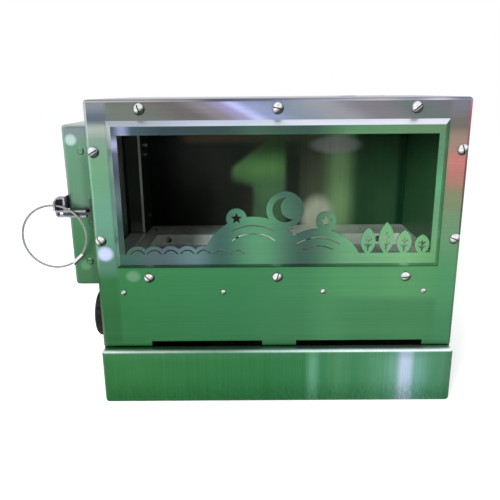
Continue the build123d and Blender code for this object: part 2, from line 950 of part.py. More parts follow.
def make_door_hinge(level):
    foot = level - hinge_height / 2
    reach = block(
        door_face + corner_radius,
        hinge_x,
        door_back,
        door_back + hinge_leaf,
        foot + knuckle_height,
        foot + 2 * knuckle_height,
    )
    plate = block(
        door_face + corner_radius,
        hinge_x - knuckle_radius - knuckle_gap,
        door_back,
        door_back + hinge_leaf,
        foot,
        foot + hinge_height,
    )
    leaf_plate = plate + reach + knuckle(level, knuckle_height, 2 * knuckle_height)
    leaf_plate -= hinge_bore(level)
    for x, z in hinge_rivet_points:
        if abs(z - level) < hinge_height / 2:
            leaf_plate -= bore_y(x, z, door_back, door_back + hinge_leaf, floor_shank_radius)
    return leaf_plate


def make_hinge_pins():
    pins = []
    for level in hinge_levels:
        foot = level - hinge_height / 2
        top = foot + hinge_height
        head_top = top + hinge_pin_head_height
        head_radius = (hinge_pin_radius + knuckle_radius) / 2
        pin = rod((hinge_x, hinge_y, foot - hinge_pin_tail), (hinge_x, hinge_y, top), hinge_pin_radius)
        pin += rod((hinge_x, hinge_y, top), (hinge_x, hinge_y, head_top), head_radius)
        pins.append(pin)
    return Compound(children=pins)


def make_hinge_bolts():
    length = hinge_leaf + sheet + liner_offset + small_nut_thickness + thread_end
    bolt = flat_rivet(hinge_bolt_head_radius, rivet_head_height, hinge_bolt_radius, length)
    bolt = facing((-1, 0, 0)) * bolt
    return place([(wall_out - hinge_leaf, y, z) for y, z in hinge_bolt_points], lambda index: bolt)


def make_hinge_nuts():
    nut = facing((1, 0, 0)) * hex_nut(small_nut_flats, small_nut_thickness, hinge_bolt_radius)
    return place([(liner_face, y, z) for y, z in hinge_bolt_points], lambda index: nut)


# Latch
def make_latch_clip():
    """A strap bent round the keeper blade, with a folded ear above that carries the pull ring."""
    low = clip_level - clip_half
    loop = block(clip_end, door_face, clip_front, clip_back, low, ear_top)
    round_edges = [
        edge for edge in loop.edges() if abs((edge % 0.5).Y) > 0.9 and edge.center().X < clip_end + cut_past
    ]
    loop = fillet(round_edges, clip_slot / 2 + clip_strap * 0.95)
    loop -= block(
        clip_end + clip_strap,
        door_face - clip_strap,
        clip_front - cut_past,
        clip_back + cut_past,
        clip_level + clip_half,
        ear_top - clip_strap,
    )
    loop -= block(
        clip_end + clip_strap,
        wall_out,
        clip_front - cut_past,
        clip_back + cut_past,
        clip_level - clip_slot / 2,
        clip_level + clip_slot / 2,
    )
    inner_end = wall_out - clip_inner_end
    for z in (clip_level + clip_slot / 2, low):
        loop += block(clip_end + clip_half, inner_end, clip_front, clip_back, z, z + clip_strap)
    flange_foot = clip_level + clip_half
    flange_end = clip_back + clip_flange_length
    loop += block(door_face - clip_strap, door_face, clip_back - cut_past, flange_end, flange_foot, ear_top)
    lip = block(
        clip_end,
        clip_end + clip_strap,
        clip_front - clip_ear_lip,
        clip_front,
        ear_middle - clip_ear_lip,
        ear_middle + clip_ear_lip * 0.8,
    )
    loop += lip
    hole_centre = ear_middle + ring_hole_radius - ring_wire_radius - seat_gap
    loop -= bore_x(ring_y, hole_centre, clip_end, clip_end + clip_strap, ring_hole_radius)
    for y, z in clip_rivet_points:
        loop -= bore_x(y, z, door_face - clip_strap, door_face, floor_shank_radius)
    return loop


def make_clip_spacer():
    """The black block inside the ear, between the strap's end and the door."""
    return block(
        clip_end + clip_strap,
        clip_end + clip_strap + spacer_length,
        clip_front,
        clip_back,
        clip_level + clip_half,
        clip_level + clip_half + spacer_height,
    )


def make_clip_rivets():
    length = clip_strap + sheet + thread_end
    rivet = flat_rivet(hinge_bolt_head_radius, rivet_head_height, floor_shank_radius, length)
    rivet = facing((-1, 0, 0)) * rivet
    return place([(door_face - clip_strap, y, z) for y, z in clip_rivet_points], lambda index: rivet)


def make_latch_keeper():
    """The blade on the side wall that the clip closes over."""
    plate = block(
        wall_out - keeper_thickness,
        wall_out,
        clip_front,
        clip_back,
        clip_level - keeper_plate_height / 2,
        clip_level + keeper_plate_height / 2,
    )
    half = keeper_thickness / 2
    blade = block(
        wall_out - keeper_reach,
        wall_out,
        clip_front + keeper_side_gap,
        clip_back - keeper_side_gap,
        clip_level - half,
        clip_level + half,
    )
    keeper = plate + blade
    for z in keeper_screw_levels:
        keeper -= bore_x(keeper_y, z, wall_out - keeper_thickness, wall_out, floor_shank_radius)
    return keeper


def make_keeper_screws():
    length = keeper_thickness + sheet + thread_end
    screw = facing((-1, 0, 0)) * dome_screw(
        hinge_bolt_head_radius, keeper_head_height, floor_shank_radius, length, 90
    )
    points = [(wall_out - keeper_thickness, keeper_y, z) for z in keeper_screw_levels]
    return place(points, lambda index: screw)


def barrel_seat():
    angle = math.radians(barrel_angle)
    centre = Vector(ring_x + ring_radius * math.cos(angle), ring_y, ring_level + ring_radius * math.sin(angle))
    along = Vector(-math.sin(angle), 0, math.cos(angle))
    return centre - along * (barrel_length / 2), centre + along * (barrel_length / 2)


def make_ring_barrel():
    start, end = barrel_seat()
    barrel = rod(start, end, barrel_radius)
    return chamfer(barrel.edges().filter_by(GeomType.CIRCLE), barrel_chamfer)


def make_pull_ring():
    loop = Plane(origin=(ring_x, ring_y, ring_level), z_dir=(0, -1, 0)) * Torus(ring_radius, ring_wire_radius)
    return loop - make_ring_barrel()


# Air regulator
def make_air_regulator():
    seat_x = wall_out - seat_gap
    face_x = wall_out - regulator_depth
    centre = (regulator_y, regulator_level)
    disc = rod((seat_x, *centre), (face_x, *centre), regulator_radius)
    rim = [edge for edge in disc.edges().filter_by(GeomType.CIRCLE) if edge.center().X < seat_x - cut_past]
    disc = chamfer(rim, regulator_rim_chamfer)
    skin_x = face_x + regulator_skin
    disc -= rod((seat_x + cut_past, *centre), (skin_x, *centre), regulator_radius - regulator_skin)
    disc += rod((seat_x, *centre), (skin_x, *centre), regulator_boss_radius)
    disc -= bore_x(*centre, face_x, seat_x, regulator_screw_radius + pin_fit)
    for y, z in regulator_ports:
        disc -= bore_x(y, z, face_x, seat_x, regulator_port_radius)
    for turn in range(regulator_notch_count):
        angle = math.radians(360 * turn / regulator_notch_count)
        y = regulator_y + regulator_radius * math.cos(angle)
        z = regulator_level + regulator_radius * math.sin(angle)
        disc -= bore_x(y, z, face_x, seat_x, regulator_notch_radius)
    return disc


def make_regulator_screw():
    length = regulator_depth + sheet + nut_thickness + thread_end
    screw = facing((-1, 0, 0)) * dome_screw(
        regulator_head_radius, regulator_head_height, regulator_screw_radius, length, 30
    )
    return Pos(wall_out - regulator_depth - seat_gap, regulator_y, regulator_level) * screw


def make_regulator_nut():
    nut = facing((1, 0, 0)) * hex_nut(regulator_nut_flats, nut_thickness, regulator_screw_radius)
    return Pos(wall_out + sheet, regulator_y, regulator_level) * nut


# Chimney socket
def make_flue_socket():
    foot = body_top - flue_socket_depth
    centre = (flue_x, flue_y)
    tube = rod((*centre, foot), (*centre, body_top), flue_bore + sheet)
    tube += rod((*centre, body_top - 2 * sheet), (*centre, body_top - sheet), flue_bore + sheet + flue_flange)
    tube -= rod((*centre, foot + sheet), (*centre, body_top + cut_past), flue_bore)
    tube -= rod((*centre, foot - cut_past), (*centre, foot + sheet + cut_past), flue_bore - flue_stop)
    return tube


# Base frame and ash drawer
def make_base_frame():
    outer = block(-base_half_width, base_half_width, base_front, base_back, 0.0, body_bottom)
    room = block(
        -base_half_width + base_sheet,
        base_half_width - base_sheet,
        base_front - cut_past,
        base_back - base_sheet,
        base_sheet,
        body_bottom - sheet,
    )
    mouth = block(
        -side + foot_flange,
        side - foot_flange,
        base_front - cut_past,
        back - foot_flange,
        body_bottom - sheet - cut_past,
        body_bottom + cut_past,
    )
    frame = outer - room - mouth
    for x, y in base_screw_points:
        frame -= bore_z(x, y, body_bottom - sheet, body_bottom, window_screw_bore)
    return frame


def make_base_screws():
    length = 2 * sheet + nut_thickness + thread_end
    screw = flat_rivet(base_head_radius, base_head_height, window_shank_radius, length)
    return place([(x, y, body_bottom + sheet) for x, y in base_screw_points], lambda index: screw)


def make_base_nuts():
    nut = hex_nut(nut_flats, nut_thickness, window_shank_radius)
    foot = body_bottom - sheet - nut_thickness
    return place([(x, y, foot) for x, y in base_screw_points], lambda index: nut)


def make_drawer_front():
    """The folded front: a face with a top lip and two side returns, open at its foot."""
    lip_top = body_bottom - drawer_lip_gap
    solid = block(
        -drawer_front_half_width, drawer_front_half_width, drawer_face, front, drawer_front_bottom, lip_top
    )
    bends = [
        edge
        for edge in solid.edges()
        if edge.center().Y < front - cut_past and edge.center().Z > drawer_front_bottom + cut_past
    ]
    solid = fillet(bends, corner_radius)
    corners = [
        edge
        for edge in solid.edges()
        if abs((edge % 0.5).Y) > 0.9 and edge.center().Z < drawer_front_bottom + cut_past
    ]
    solid = fillet(corners, corner_radius)
    room = block(
        -drawer_front_half_width + sheet,
        drawer_front_half_width - sheet,
        drawer_face + sheet,
        front + cut_past,
        drawer_front_bottom - cut_past,
        lip_top - sheet,
    )
    inner_bends = [
        edge
        for edge in room.edges()
        if edge.center().Y < front - cut_past and edge.center().Z > drawer_front_bottom
    ]
    return solid - fillet(inner_bends, corner_radius - sheet)


def make_ash_drawer():
    """The ash box: four walls and a floor, its front wall against the folded front."""
    half = base_half_width - base_sheet - drawer_side_gap
    foot = base_sheet + seat_gap
    front_wall = drawer_face + sheet
    neck = drawer_front_half_width - corner_radius
    box = block(-half, half, front_wall + corner_radius, drawer_back, foot, foot + drawer_height)
    box += block(-neck, neck, front_wall, front_wall + corner_radius + cut_past, foot, foot + drawer_height)
    room = block(
        -half + sheet,
        half - sheet,
        front_wall + corner_radius + sheet,
        drawer_back - sheet,
        foot + sheet,
        foot + drawer_height + cut_past,
    )
    room += block(
        -neck + sheet,
        neck - sheet,
        front_wall + sheet,
        front_wall + corner_radius + sheet + cut_past,
        foot + sheet,
        foot + drawer_height + cut_past,
    )
    return box - room


nodes = {
    "front_panel": make_front_panel(),
    "body_shell": make_body_shell(),
    "back_panel": make_back_panel(),
    "window_frame": make_window_frame(),
    "glass_gasket": make_glass_gasket(),
    "glass_pane": make_glass_pane(),
    "glass_retainer": make_glass_retainer(),
    "window_screws": make_window_screws(),
    "window_nuts": make_window_nuts(),
    "floor_plate": make_floor_plate(),
    "floor_screws": make_floor_screws(),
    "floor_nuts": make_floor_nuts(),
    "rear_air_channel": make_rear_air_channel(),
    "left_air_channel": make_side_channel(liner_face, 1),
    "right_air_channel": make_side_channel(inner_side - seat_gap, -1),
    "channel_rivets": make_channel_rivets(),
    "channel_bolts": make_channel_bolts(),
    "left_liner": make_left_liner(),
    "door_throat": make_door_throat(),
    "wall_hinge_lower": make_wall_hinge(hinge_levels[0]),
    "wall_hinge_upper": make_wall_hinge(hinge_levels[1]),
    "hinge_pins": make_hinge_pins(),
    "hinge_bolts": make_hinge_bolts(),
    "hinge_nuts": make_hinge_nuts(),
    "latch_keeper": make_latch_keeper(),
    "keeper_screws": make_keeper_screws(),
    "flue_socket": make_flue_socket(),
    "base_frame": make_base_frame(),
    "base_screws": make_base_screws(),
    "base_nuts": make_base_nuts(),
    "side_door": make_side_door(),
    "door_liner": make_door_liner(),
    "door_gasket": make_door_gasket(),
    "door_hinge_lower": make_door_hinge(hinge_levels[0]),
    "door_hinge_upper": make_door_hinge(hinge_levels[1]),
    "door_rivets": make_door_rivets(),
    "latch_clip": make_latch_clip(),
    "clip_spacer": make_clip_spacer(),
    "clip_rivets": make_clip_rivets(),
    "pull_ring": make_pull_ring(),
    "ring_barrel": make_ring_barrel(),
    "air_regulator": make_air_regulator(),
    "regulator_screw": make_regulator_screw(),
    "regulator_nut": make_regulator_nut(),
    "ash_drawer": make_ash_drawer(),
    "drawer_front": make_drawer_front(),
}

os.makedirs("parts", exist_ok=True)
for name, solid in nodes.items():
    export_step(solid, f"parts/{name}.step")
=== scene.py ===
import math

import bpy
from mathutils import Matrix, Vector


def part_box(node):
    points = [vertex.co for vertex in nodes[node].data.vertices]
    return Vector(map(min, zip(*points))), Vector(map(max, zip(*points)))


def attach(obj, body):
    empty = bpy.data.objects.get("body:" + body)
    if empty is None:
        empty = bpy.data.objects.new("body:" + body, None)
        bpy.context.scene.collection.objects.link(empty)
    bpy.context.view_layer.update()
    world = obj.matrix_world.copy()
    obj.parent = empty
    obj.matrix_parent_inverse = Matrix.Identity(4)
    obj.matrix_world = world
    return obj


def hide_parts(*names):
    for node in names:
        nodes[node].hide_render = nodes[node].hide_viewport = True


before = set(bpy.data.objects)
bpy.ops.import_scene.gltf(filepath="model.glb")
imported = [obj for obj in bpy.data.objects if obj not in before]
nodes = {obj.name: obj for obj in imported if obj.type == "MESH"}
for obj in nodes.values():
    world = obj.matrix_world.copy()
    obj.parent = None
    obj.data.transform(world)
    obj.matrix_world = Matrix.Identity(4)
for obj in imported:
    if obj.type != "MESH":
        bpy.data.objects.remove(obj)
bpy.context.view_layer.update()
scene = bpy.context.scene

# Places read from the frame, in metres
body_low, body_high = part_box("body_shell")
ring_low, ring_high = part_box("pull_ring")
window_low, window_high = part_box("window_frame")
door_low, door_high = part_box("side_door")
drawer_low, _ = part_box("drawer_front")
_, throat_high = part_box("door_throat")
screw_low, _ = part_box("window_screws")
floor_screw_low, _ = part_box("floor_screws")
body_centre = (body_low + body_high) / 2

# From a screw head's front to the floor of its slot
window_slot_depth = 0.00225
floor_slot_depth = 0.00117


def ink(red, green, blue):
    """A colour given as 0 to 255 on screen, as the linear values that shaders take."""
    linear = []
    for value in (red, green, blue):
        share = value / 255
        linear.append(share / 12.92 if share <= 0.04045 else ((share + 0.055) / 1.055) ** 2.4)
    return (*linear, 1.0)


# Noise values lie mostly between these two
noise_low = 0.3
noise_high = 0.7

# A blob is full where its squared distance, in reaches, is below this
blob_core = 0.15


class Painter:
    """One material's node tree, with short calls for what the finishes are made of."""

    def __init__(self, name):
        self.material = bpy.data.materials.new(name)
        self.material.use_nodes = True
        self.tree = self.material.node_tree
        self.tree.nodes.clear()
        self.output = self.tree.nodes.new("ShaderNodeOutputMaterial")
        self.shader = self.tree.nodes.new("ShaderNodeBsdfPrincipled")
        self.link(self.shader.outputs["BSDF"], self.output.inputs["Surface"])
        coordinates = self.tree.nodes.new("ShaderNodeTexCoord")
        self.place = coordinates.outputs["Object"]
        self.x, self.y, self.z = self.split(self.place)
        self.nx, self.ny, self.nz = self.split(coordinates.outputs["Normal"])

    def link(self, source, target):
        self.tree.links.new(source, target)

    def put(self, value, target):
        """Links a socket, or sets a plain value."""
        if isinstance(value, bpy.types.NodeSocket):
            self.link(value, target)
        else:
            target.default_value = value

    def split(self, vector):
        node = self.tree.nodes.new("ShaderNodeSeparateXYZ")
        self.link(vector, node.inputs[0])
        return node.outputs[0], node.outputs[1], node.outputs[2]

    def rays(self):
        """What kind of ray meets the surface, by name."""
        return self.tree.nodes.new("ShaderNodeLightPath").outputs

    def math(self, operation, first, second=0.0):
        node = self.tree.nodes.new("ShaderNodeMath")
        node.operation = operation
        self.put(first, node.inputs[0])
        self.put(second, node.inputs[1])
        return node.outputs[0]

    def times(self, *factors):
        result = factors[0]
        for factor in factors[1:]:
            result = self.math("MULTIPLY", result, factor)
        return result

    def rest(self, share):
        """What is left of 1."""
        return self.math("SUBTRACT", 1.0, share)

    def ramp(self, value, low, high, start=0.0, end=1.0):
        """Goes smoothly from start at low to end at high."""
        node = self.tree.nodes.new("ShaderNodeMapRange")
        node.interpolation_type = "SMOOTHSTEP"
        self.put(value, node.inputs["Value"])
        rising = low < high
        node.inputs["From Min"].default_value = low if rising else high
        node.inputs["From Max"].default_value = high if rising else low
        node.inputs["To Min"].default_value = start if rising else end
        node.inputs["To Max"].default_value = end if rising else start
        return node.outputs["Result"]

    def within(self, value, low, high, soft):
        """1 between low and high, fading out over soft beyond them."""
        rise = self.ramp(value, low - soft, low)
        fall = self.ramp(value, high, high + soft, 1.0, 0.0)
        return self.times(rise, fall)

    def noise(self, scale, detail=3.0, roughness=0.55, offset=(0.0, 0.0, 0.0)):
        """Noise with its own scale along X, Y and Z, its middle range stretched from 0 to 1."""
        mapping = self.tree.nodes.new("ShaderNodeMapping")
        mapping.inputs["Scale"].default_value = scale
        mapping.inputs["Location"].default_value = offset
        self.link(self.place, mapping.inputs["Vector"])
        node = self.tree.nodes.new("ShaderNodeTexNoise")
        node.inputs["Scale"].default_value = 1.0
        node.inputs["Detail"].default_value = detail
        node.inputs["Roughness"].default_value = roughness
        self.link(mapping.outputs["Vector"], node.inputs["Vector"])
        stretch = self.tree.nodes.new("ShaderNodeMapRange")
        self.link(node.outputs[0], stretch.inputs["Value"])
        stretch.inputs["From Min"].default_value = noise_low
        stretch.inputs["From Max"].default_value = noise_high
        return stretch.outputs["Result"]

    def mix(self, share, first, second):
        node = self.tree.nodes.new("ShaderNodeMix")
        node.data_type = "RGBA"
        self.put(share, node.inputs["Factor"])
        self.put(first, node.inputs[6])
        self.put(second, node.inputs[7])
        return node.outputs[2]

    def across(self, value, *stops):
        """A colour that runs through (place, colour) stops."""
        colour = stops[0][1]
        for (low, _), (high, following) in zip(stops, stops[1:]):
            colour = self.mix(self.ramp(value, low, high), colour, following)
        return colour

    def patch(self, colour, tone, *shares):
        """Lays a tone over colour, as strong as the product of its shares."""
        return self.mix(self.times(*shares), colour, tone)

    def blob(self, *spans):
        """A soft round spot: each span is a value, its middle and its reach."""
        total = 0.0
        for value, middle, reach in spans:
            share = self.math("DIVIDE", self.math("SUBTRACT", value, middle), reach)
            total = self.math("ADD", total, self.times(share, share))
        return self.ramp(total, 1.0, blob_core)

    def bump(self, height, distance, strength):
        node = self.tree.nodes.new("ShaderNodeBump")
        node.inputs["Strength"].default_value = strength
        node.inputs["Distance"].default_value = distance
        self.link(height, node.inputs["Height"])
        return node.outputs["Normal"]

    def fix(self, **constants):
        """Sets sockets that are the same all over."""
        for name, value in constants.items():
            self.shader.inputs[name.replace("_", " ")].default_value = value

    def finish(self, colour, metallic, roughness, normal=None):
        self.put(colour, self.shader.inputs["Base Color"])
        self.put(metallic, self.shader.inputs["Metallic"])
        self.put(roughness, self.shader.inputs["Roughness"])
        if normal is not None:
            self.link(normal, self.shader.inputs["Normal"])
        return self.material


def dress(material, *names):
    """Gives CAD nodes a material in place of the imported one."""
    for name in names:
        slots = nodes[name].data.materials
        slots.clear()
        slots.append(material)


# Which way a face looks
bend_start = 0.995
bend_full = 0.93
outward_soft = 0.002


def faces_back(p):
    return p.ramp(p.ny, 0.2, 0.6)


def faces_front(p):
    return p.ramp(p.ny, -0.5, -0.9)


def bends(p):
    """1 on rounded bends and corners, where no axis faces along the normal."""
    steepest = p.math("MAXIMUM", p.math("ABSOLUTE", p.nx), p.math("ABSOLUTE", p.ny))
    steepest = p.math("MAXIMUM", steepest, p.math("ABSOLUTE", p.nz))
    return p.ramp(steepest, bend_start, bend_full)


def outward(p):
    """1 on faces that look away from the body's middle."""
    sides = zip((p.x, p.y, p.z), (p.nx, p.ny, p.nz), body_centre)
    total = 0.0
    for place, normal, middle in sides:
        total = p.math("ADD", total, p.times(normal, p.math("SUBTRACT", place, middle)))
    return p.ramp(total, -outward_soft, outward_soft)


# Sheet metal: polished outside, dull and heat-stained in the firebox
outside_metal = 0.9
inside_metal = 0.2
inside_gloss = 0.15
brush_fine = 900.0
brush_long = 6.0
brush_coarse_share = 0.18
brush_fine_weight = 1.6
smudge_scale = (34.0, 34.0, 26.0)
smudge_roughness = 0.08
scratch_roughness = 0.05
scratch_depth = 0.00003
scratch_strength = 0.4
# Painted highlight laid along rounded bends
bend_highlight = ink(176, 186, 182)


def brushed(p, colour, along, grain=0.08, metallic=outside_metal, base_roughness=0.3, streaks=0.9):
    """Sheet steel: fine scratches along one axis, coarser streaks and soft smudges."""
    scale = [brush_fine, brush_fine, brush_fine]
    scale["xyz".index(along)] = brush_long
    fine = p.noise(scale, detail=2.0)
    scale = [value * brush_coarse_share for value in scale]
    coarse = p.noise(scale, offset=(3.0, 1.0, 2.0))
    smudge = p.noise(smudge_scale, detail=4.0, offset=(0.4, 0.1, 0.7))
    tone = 1.0
    for texture, weight in ((coarse, streaks), (fine, brush_fine_weight), (smudge, 1.0)):
        tone = p.math("ADD", tone, p.times(p.math("SUBTRACT", texture, 0.5), grain * weight))
    toned = p.tree.nodes.new("ShaderNodeVectorMath")
    toned.operation = "SCALE"
    p.put(colour, toned.inputs[0])
    p.link(tone, toned.inputs["Scale"])
    roughness = p.math("ADD", base_roughness, p.times(smudge, smudge_roughness))
    roughness = p.math("ADD", roughness, p.times(fine, scratch_roughness))
    scratches = p.bump(fine, scratch_depth, scratch_strength)
    return p.finish(toned.outputs[0], metallic, roughness, scratches)


def lid_reflection(p):
    """The stove's top as a painted reflection, greyer at the front."""
    return p.across(
        p.y,
        (-0.117, ink(138, 140, 150)),
        (-0.060, ink(158, 161, 170)),
        (0.118, ink(198, 202, 208)),
    )


# Front panel, in painted reflections: foot and head by X, the strips beside the window frame by Z
head_lean = 1.8
head_turn = 0.331


# Painted reflections: greens across the foot, a darker green patch low at the right
def panel_foot(p):
    foot = p.across(
        p.x,
        (-0.190, ink(52, 112, 67)),
        (-0.060, ink(54, 116, 74)),
        (0.020, ink(63, 121, 81)),
        (0.075, ink(77, 139, 92)),
        (0.150, ink(86, 147, 98)),
        (0.194, ink(76, 140, 93)),
    )
    low_right_reflection = p.times(p.within(p.z, 0.072, 0.118, 0.012), p.ramp(p.x, 0.03, 0.10))
    return p.patch(foot, ink(60, 116, 78), 0.6, low_right_reflection)


def panel_head(p):
    """The face above the window frame: painted reflection streaks, leaning with height."""
    slant = p.math("ADD", p.x, p.times(head_lean, p.math("SUBTRACT", p.z, head_turn)))
    return p.across(
        slant,
        (-0.160, ink(97, 104, 97)),
        (-0.098, ink(95, 92, 91)),
        (-0.068, ink(123, 117, 126)),
        (-0.050, ink(140, 137, 171)),
        (-0.037, ink(173, 175, 219)),
        (-0.021, ink(132, 143, 178)),
        (0.010, ink(123, 134, 149)),
        (0.055, ink(141, 143, 150)),
        (0.095, ink(120, 117, 124)),
        (0.150, ink(101, 111, 109)),
        (0.186, ink(109, 107, 116)),
    )


# Painted reflections up the strip left of the window frame
def panel_left_strip(p):
    return p.across(
        p.z,
        (0.145, ink(48, 101, 60)),
        (0.166, ink(79, 117, 101)),
        (0.212, ink(89, 134, 114)),
        (0.272, ink(91, 132, 103)),
        (0.299, ink(109, 135, 120)),
        (0.3125, ink(143, 152, 145)),
        (0.322, ink(82, 92, 104)),
        (0.340, ink(120, 125, 133)),
    )


# Painted reflections up the strip right of the window frame, warm red in its middle
def panel_right_strip(p):
    return p.across(
        p.z,
        (0.078, ink(70, 130, 92)),
        (0.150, ink(79, 142, 97)),
        (0.207, ink(104, 143, 108)),
        (0.238, ink(124, 133, 103)),
        (0.262, ink(172, 118, 109)),
        (0.276, ink(188, 121, 117)),
        (0.300, ink(150, 129, 117)),
        (0.314, ink(110, 106, 101)),
        (0.340, ink(118, 120, 134)),
    )


# Painted reflections and highlights on the left and right side folds
def panel_side_folds(p):
    left = p.across(
        p.z,
        (0.085, ink(84, 116, 90)),
        (0.145, ink(46, 86, 54)),
        (0.180, ink(112, 160, 125)),
        (0.262, ink(126, 170, 142)),
        (0.300, ink(148, 178, 164)),
        (0.330, ink(172, 180, 182)),
    )
    right = p.across(
        p.z,
        (0.080, ink(64, 114, 84)),
        (0.165, ink(84, 141, 103)),
        (0.212, ink(80, 100, 78)),
        (0.262, ink(126, 72, 72)),
        (0.300, ink(142, 96, 100)),
        (0.322, ink(166, 90, 106)),
        (0.340, ink(200, 120, 134)),
    )
    return p.mix(p.ramp(p.x, -0.010, 0.010), left, right)


# Painted highlight along the top fold, with a darker painted reflection band across it
def panel_top_fold(p):
    fold = p.across(
        p.x,
        (-0.160, ink(162, 162, 156)),
        (-0.096, ink(146, 144, 144)),
        (-0.062, ink(84, 87, 104)),
        (-0.020, ink(102, 106, 132)),
        (0.040, ink(148, 153, 172)),
        (0.105, ink(184, 180, 190)),
        (0.138, ink(154, 155, 170)),
        (0.165, ink(202, 200, 218)),
        (0.190, ink(128, 134, 148)),
    )
    return p.patch(fold, ink(84, 88, 104), 0.45, p.within(p.nz, 0.66, 0.86, 0.10))


def front_panel_finish():
    """Steel in painted reflections, greens below and greys above, warm at its right edge, with painted
    highlights on its folds.
    """
    p = Painter("front_panel_steel")
    colour = p.mix(p.ramp(p.z, 0.300, 0.320), panel_foot(p), panel_head(p))
    in_left_strip = p.ramp(p.x, window_low.x + 0.0035, window_low.x - 0.0025)
    colour = p.mix(in_left_strip, colour, panel_left_strip(p))
    in_right_strip = p.ramp(p.x, window_high.x - 0.0035, window_high.x + 0.0040)
    colour = p.mix(in_right_strip, colour, panel_right_strip(p))
    # Painted reflections: a pale lilac spot and a dull green spot low at the left
    pale_reflection_spot = p.blob((p.x, -0.189, 0.011), (p.z, 0.178, 0.010))
    colour = p.patch(colour, ink(186, 192, 230), 0.9, pale_reflection_spot)
    dull_reflection_spot = p.blob((p.x, -0.160, 0.010), (p.z, 0.152, 0.008))
    colour = p.patch(colour, ink(110, 146, 122), 0.6, dull_reflection_spot)
    # Painted reflection: green along the lower edge
    lower_edge = p.ramp(p.z, body_low.z + 0.0065, body_low.z + 0.0035)
    colour = p.patch(colour, ink(62, 126, 78), 0.5, lower_edge)
    # Painted reflections and highlights on the folds, the lid's painted reflection on top
    side_fold = p.ramp(p.math("ABSOLUTE", p.nx), 0.06, 0.30)
    colour = p.mix(side_fold, colour, panel_side_folds(p))
    colour = p.mix(p.ramp(p.nz, 0.12, 0.40), colour, panel_top_fold(p))
    colour = p.mix(p.ramp(p.nz, 0.88, 0.99), colour, lid_reflection(p))
    colour = p.mix(faces_back(p), colour, ink(44, 48, 46))
    return brushed(p, colour, "x", grain=0.07)


# Window frame: its bevels start this far inside its outer edge, and are full at the second
bevel_start = 0.0080
bevel_full = 0.0065


def frame_bands(p):
    """The frame's four flat bands in painted reflections: below and above by X, left and right by Z."""
    bottom = p.across(
        p.x,
        (-0.168, ink(55, 86, 76)),
        (-0.126, ink(69, 87, 90)),
        (-0.090, ink(84, 110, 113)),
        (-0.063, ink(55, 87, 79)),
        (-0.020, ink(79, 132, 99)),
        (0.028, ink(58, 86, 76)),
        (0.086, ink(99, 153, 112)),
        (0.141, ink(113, 168, 119)),
        (0.174, ink(99, 156, 105)),
    )
    top = p.across(
        p.x,
        (-0.171, ink(69, 80, 87)),
        (-0.161, ink(121, 131, 161)),
        (-0.149, ink(55, 73, 80)),
        (-0.118, ink(47, 61, 66)),
        (-0.058, ink(48, 66, 66)),
        (-0.020, ink(59, 85, 72)),
        (0.030, ink(53, 80, 71)),
        (0.085, ink(88, 134, 94)),
        (0.150, ink(97, 134, 99)),
    )
    left = p.across(
        p.z,
        (0.176, ink(50, 75, 65)),
        (0.212, ink(46, 68, 63)),
        (0.238, ink(75, 90, 93)),
        (0.268, ink(58, 66, 75)),
        (0.286, ink(73, 81, 95)),
        (0.297, ink(139, 144, 173)),
        (0.307, ink(81, 90, 103)),
    )
    right = p.across(
        p.z,
        (0.180, ink(101, 157, 108)),
        (0.228, ink(98, 149, 111)),
        (0.254, ink(92, 159, 116)),
        (0.286, ink(92, 138, 106)),
    )
    colour = p.mix(p.ramp(p.z, 0.220, 0.260), bottom, top)
    upright = p.within(p.z, 0.182, 0.303, 0.006)
    colour = p.mix(p.times(p.ramp(p.x, -0.163, -0.167), upright), colour, left)
    return p.mix(p.times(p.ramp(p.x, 0.163, 0.167), upright), colour, right)


def window_frame_finish():
    """The raised frame: painted reflections in its flat bands by their places, painted highlights on the
    bevels above and to the left, painted shadow along its foot and right edge.
    """
    p = Painter("window_frame_steel")
    # Painted highlights on the top and left bevels
    top_bevel_highlight = p.across(
        p.x,
        (-0.172, ink(164, 175, 184)),
        (-0.050, ink(198, 207, 224)),
        (0.050, ink(222, 227, 240)),
        (0.172, ink(230, 233, 246)),
    )
    left_bevel_highlight = p.across(
        p.z,
        (0.166, ink(93, 137, 110)),
        (0.190, ink(115, 149, 138)),
        (0.252, ink(122, 154, 148)),
        (0.282, ink(140, 164, 164)),
        (0.316, ink(202, 212, 214)),
    )
    by_top = p.ramp(p.z, window_high.z - bevel_start, window_high.z - bevel_full)
    colour = p.mix(p.times(p.ramp(p.nz, 0.2, 0.5), by_top), frame_bands(p), top_bevel_highlight)
    by_left = p.ramp(p.x, window_low.x + bevel_start, window_low.x + bevel_full)
    colour = p.mix(p.times(p.ramp(p.nx, -0.2, -0.5), by_left), colour, left_bevel_highlight)
    # Painted shadow lines along the frame's foot and right edge
    foot_shadow_line = p.ramp(p.z, window_low.z + 0.0019, window_low.z + 0.0007)
    colour = p.patch(colour, ink(26, 92, 40), 0.85, foot_shadow_line)
    right_shade_line = p.ramp(p.x, window_high.x - 0.0014, window_high.x - 0.0005)
    colour = p.patch(colour, ink(44, 98, 56), 0.8, right_shade_line, p.ramp(p.z, 0.318, 0.312))
    colour = p.mix(faces_back(p), colour, ink(30, 34, 34))
    return brushed(p, colour, "x", grain=0.07, base_roughness=0.26)


